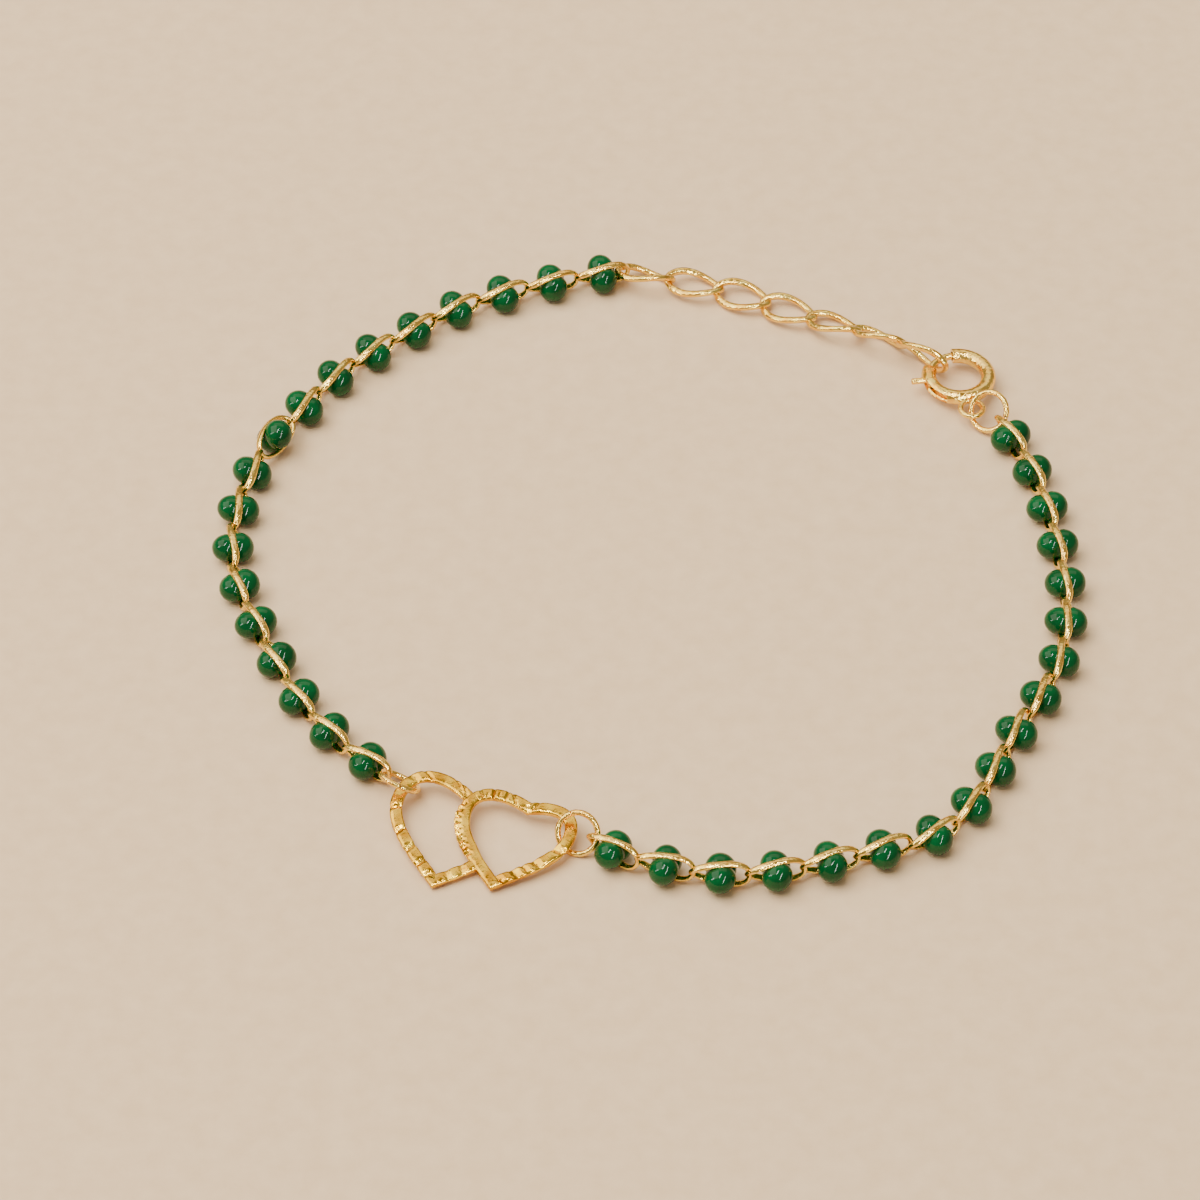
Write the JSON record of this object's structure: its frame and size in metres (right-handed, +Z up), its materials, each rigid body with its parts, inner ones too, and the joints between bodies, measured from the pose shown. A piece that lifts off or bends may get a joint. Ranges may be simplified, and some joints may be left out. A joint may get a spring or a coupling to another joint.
{
  "type": "bracelet",
  "caption": "Fine gilt curb chain bracelet with enamel drops on its links, a charm of two overlapping open hearts, and a spring ring clasp on an extender chain.",
  "frame": {"origin": "on the surface that the bracelet lies on, under the middle of its box", "axes": "+Z up from the surface, +X to the right in the picture, +Y away from the camera"},
  "size_m": [0.0624, 0.062, 0.0028],
  "materials": {
    "enamel": "glossy",
    "chain_gold": "polished gilt",
    "charm_gold": "satin gilt"
  },
  "bodies": {
    "bracelet": {"bead_left_01": "enamel", "bead_left_02": "enamel", "bead_left_03": "enamel", "bead_left_04": "enamel", "bead_left_05": "enamel", "bead_left_06": "enamel", "bead_left_07": "enamel", "bead_left_08": "enamel", "bead_left_09": "enamel", "bead_left_10": "enamel", "bead_left_11": "enamel", "bead_left_12": "enamel", "bead_left_13": "enamel", "bead_left_14": "enamel", "bead_left_15": "enamel", "bead_left_16": "enamel", "bead_left_17": "enamel", "bead_left_18": "enamel", "bead_right_01": "enamel", "bead_right_02": "enamel", "bead_right_03": "enamel", "bead_right_04": "enamel", "bead_right_05": "enamel", "bead_right_06": "enamel", "bead_right_07": "enamel", "bead_right_08": "enamel", "bead_right_09": "enamel", "bead_right_10": "enamel", "bead_right_11": "enamel", "bead_right_12": "enamel", "bead_right_13": "enamel", "bead_right_14": "enamel", "bead_right_15": "enamel", "bead_right_16": "enamel", "bead_right_17": "enamel", "bead_right_18": "enamel", "bead_chain_left": "chain_gold", "bead_chain_right": "chain_gold", "jump_ring_heart_left": "chain_gold", "jump_ring_heart_right": "chain_gold", "jump_ring_clasp": "chain_gold", "extender_chain": "chain_gold", "clasp_ring": "chain_gold", "heart_charm": "charm_gold"},
    "bolt": {"clasp_bolt": "chain_gold"}
  },
  "joints": [
    {"name": "bolt_draw", "type": "hinge", "parent": "bracelet", "child": "bolt", "pos_m": [0.02312, 0.01846, 0.00116], "axis": [0, 0, 1], "range_deg": [0, 60], "stiffness_Nm_per_rad": 0.0005}
  ]
}
